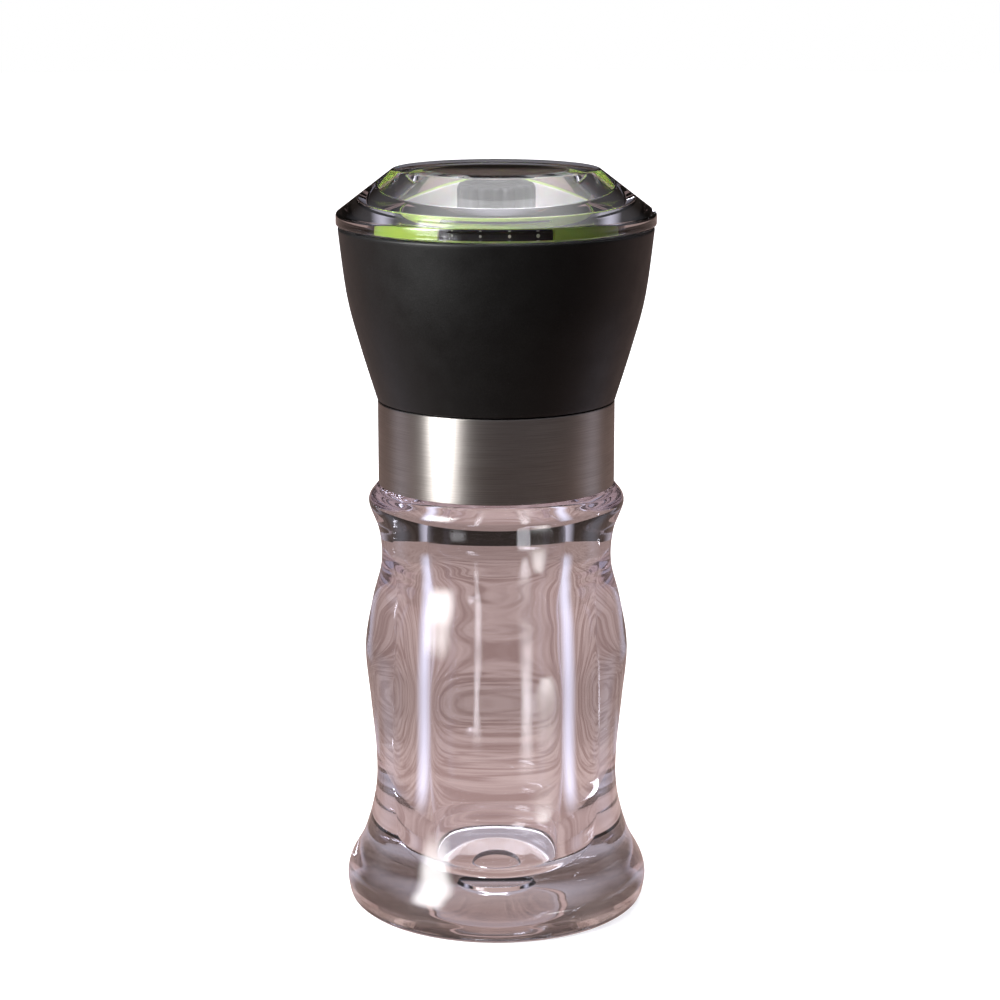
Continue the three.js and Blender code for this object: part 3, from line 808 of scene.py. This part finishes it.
def painted_table_glow(tree, place, away):
    """What the mill sees: a streaky table glowing with painted light, brighter close by, with painted shade
    in front and painted light at both sides.
    """
    grain = tree.vector("MULTIPLY", place, (1, 12, 1))
    streaks = tree.add("ShaderNodeTexNoise", Vector=grain, Scale=11.0, Detail=6.0, Distortion=0.9)
    wood = tree.blend(tree.ramp(streaks, 0.35, 0.65), TABLE_DARK, TABLE_LIGHT)
    # Painted light: pale patches beside the mill, close by, that brighten the jar's edges.
    near = tree.math("MULTIPLY", tree.ramp(away, 0.025, 0.07), tree.ramp(away, 0.2, 0.32, 1, 0))
    beside = tree.math("MULTIPLY", tree.sides(place), near)
    behind = tree.blend(beside, wood, PAINTED_SIDE_LIGHT)
    # Painted shade: the table is dark in front of the mill, and so are its reflections in the steel and the
    # head.
    color = tree.blend(tree.ramp(tree.split(place)["Y"], -0.12, 0.0), PAINTED_FRONT_SHADE, behind)
    # Painted light: the table gives off its own light, with no shadow in it, and more of it close to the
    # mill.
    return tree.add("ShaderNodeEmission", Color=color, Strength=tree.ramp(away, 0.05, 0.22, 1.55, 1.0))


def floor():
    bm = bmesh.new()
    bmesh.ops.create_circle(bm, cap_ends=True, segments=96, radius=3.0)
    ground = from_bmesh("floor", bm)
    material = bpy.data.materials.new("pale_floor")
    material.use_nodes = True
    tree = Nodes(material.node_tree)
    tree.nodes.remove(tree.nodes["Principled BSDF"])
    place = tree.nodes.new("ShaderNodeTexCoord").outputs["Object"]
    away = tree.vector("LENGTH", place, output="Value")
    seen, other = pale_floor(tree, away), painted_table_glow(tree, place, away)
    tree.camera_only(seen, other, tree.nodes["Material Output"].inputs["Surface"])
    ground.data.materials.append(material)


def world():
    """White to the camera. The mill sees a dim room, pale at both sides and above."""
    room = bpy.data.worlds.new("studio")
    bpy.context.scene.world = room
    room.use_nodes = True
    tree = Nodes(room.node_tree)
    tree.nodes.remove(tree.nodes["Background"])
    white = tree.add("ShaderNodeBackground", Color=(1, 1, 1, 1))
    direction = tree.nodes.new("ShaderNodeTexCoord").outputs["Generated"]
    walls = tree.blend(tree.sides(direction), ROOM, ROOM_SIDES)
    color = tree.blend(tree.ramp(tree.split(direction)["Z"], 0.3, 0.7), walls, ROOM_ABOVE)
    dim = tree.add("ShaderNodeBackground", Color=color)
    tree.camera_only(white, dim, tree.nodes["World Output"].inputs["Surface"])


def soft_light(name, size, place, turn, power, edge):
    """An area light, unseen by the camera itself, that fades over an edge given as a share of its size."""
    data = bpy.data.lights.new(name, "AREA")
    data.shape = "RECTANGLE"
    data.size, data.size_y = size
    data.energy = power
    data.use_nodes = True
    tree = Nodes(data.node_tree)
    across = tree.split(tree.nodes.new("ShaderNodeNewGeometry").outputs["Parametric"])
    fades = []
    for axis in "XY":
        from_middle = tree.math("ABSOLUTE", tree.math("SUBTRACT", across[axis], 0.5))
        fades.append(tree.ramp(from_middle, 0.5 - edge, 0.5, 1, 0))
    tree.links.new(tree.math("MULTIPLY", *fades), tree.nodes["Emission"].inputs["Strength"])
    lamp = bpy.data.objects.new(name, data)
    lamp.location = place
    lamp.rotation_euler = turn
    lamp.visible_camera = False
    bpy.context.scene.collection.objects.link(lamp)
    return lamp


def around_mill(azimuth, elevation, distance):
    """A place round the mill, in front of it at azimuth 0, and the turn that faces a light to the mill."""
    a, e = math.radians(azimuth), math.radians(elevation)
    towards = Vector((math.sin(a) * math.cos(e), -math.cos(a) * math.cos(e), math.sin(e)))
    return Vector((0, 0, 0.085)) + towards * distance, towards.to_track_quat("Z", "Y").to_euler()


def lights():
    """A window on the left, a ceiling, and a light lying on the table, front right, for the jar alone."""
    soft_light("window", (0.55, 0.95), *around_mill(-54, 22, 0.9), power=36, edge=0.35)
    soft_light("ceiling", (1.3, 1.0), *around_mill(0, 102, 1.0), power=20, edge=0.3)
    azimuth, away = math.radians(41), 0.165
    place = (away * math.sin(azimuth), -away * math.cos(azimuth), 0.001)
    glint = soft_light("table_glint", (0.055, 0.2), place, (math.pi, 0, azimuth), power=0.42, edge=0.45)
    jar_only = bpy.data.collections.new("jar_only")
    jar_only.objects.link(bpy.data.objects["jar_acrylic"])
    glint.light_linking.receiver_collection = jar_only


def camera():
    """Half a metre in front of the mill and a little above its cap, looking down by an angle."""
    down = 12.5
    data = bpy.data.cameras.new("camera")
    data.lens = 92.8
    data.sensor_width = 36
    data.clip_start = 0.01
    eye = bpy.data.objects.new("camera", data)
    eye.location = (0.0007, -0.480, 0.1852)
    eye.rotation_euler = (math.radians(90 - down), 0, 0)
    bpy.context.scene.collection.objects.link(eye)
    bpy.context.scene.camera = eye


camera()
floor()
world()
bpy.context.scene.view_settings.view_transform = "Standard"

jar()
lights()
collar()
neck_pieces()
spider()
spindle()
burrs()
knob()
burr_springs()
head_shell()
head_liner()
liner_screws()
scale_ring()
scale_dots()
burr_carriage()
adjuster_hub()
adjuster_ring()
cap()
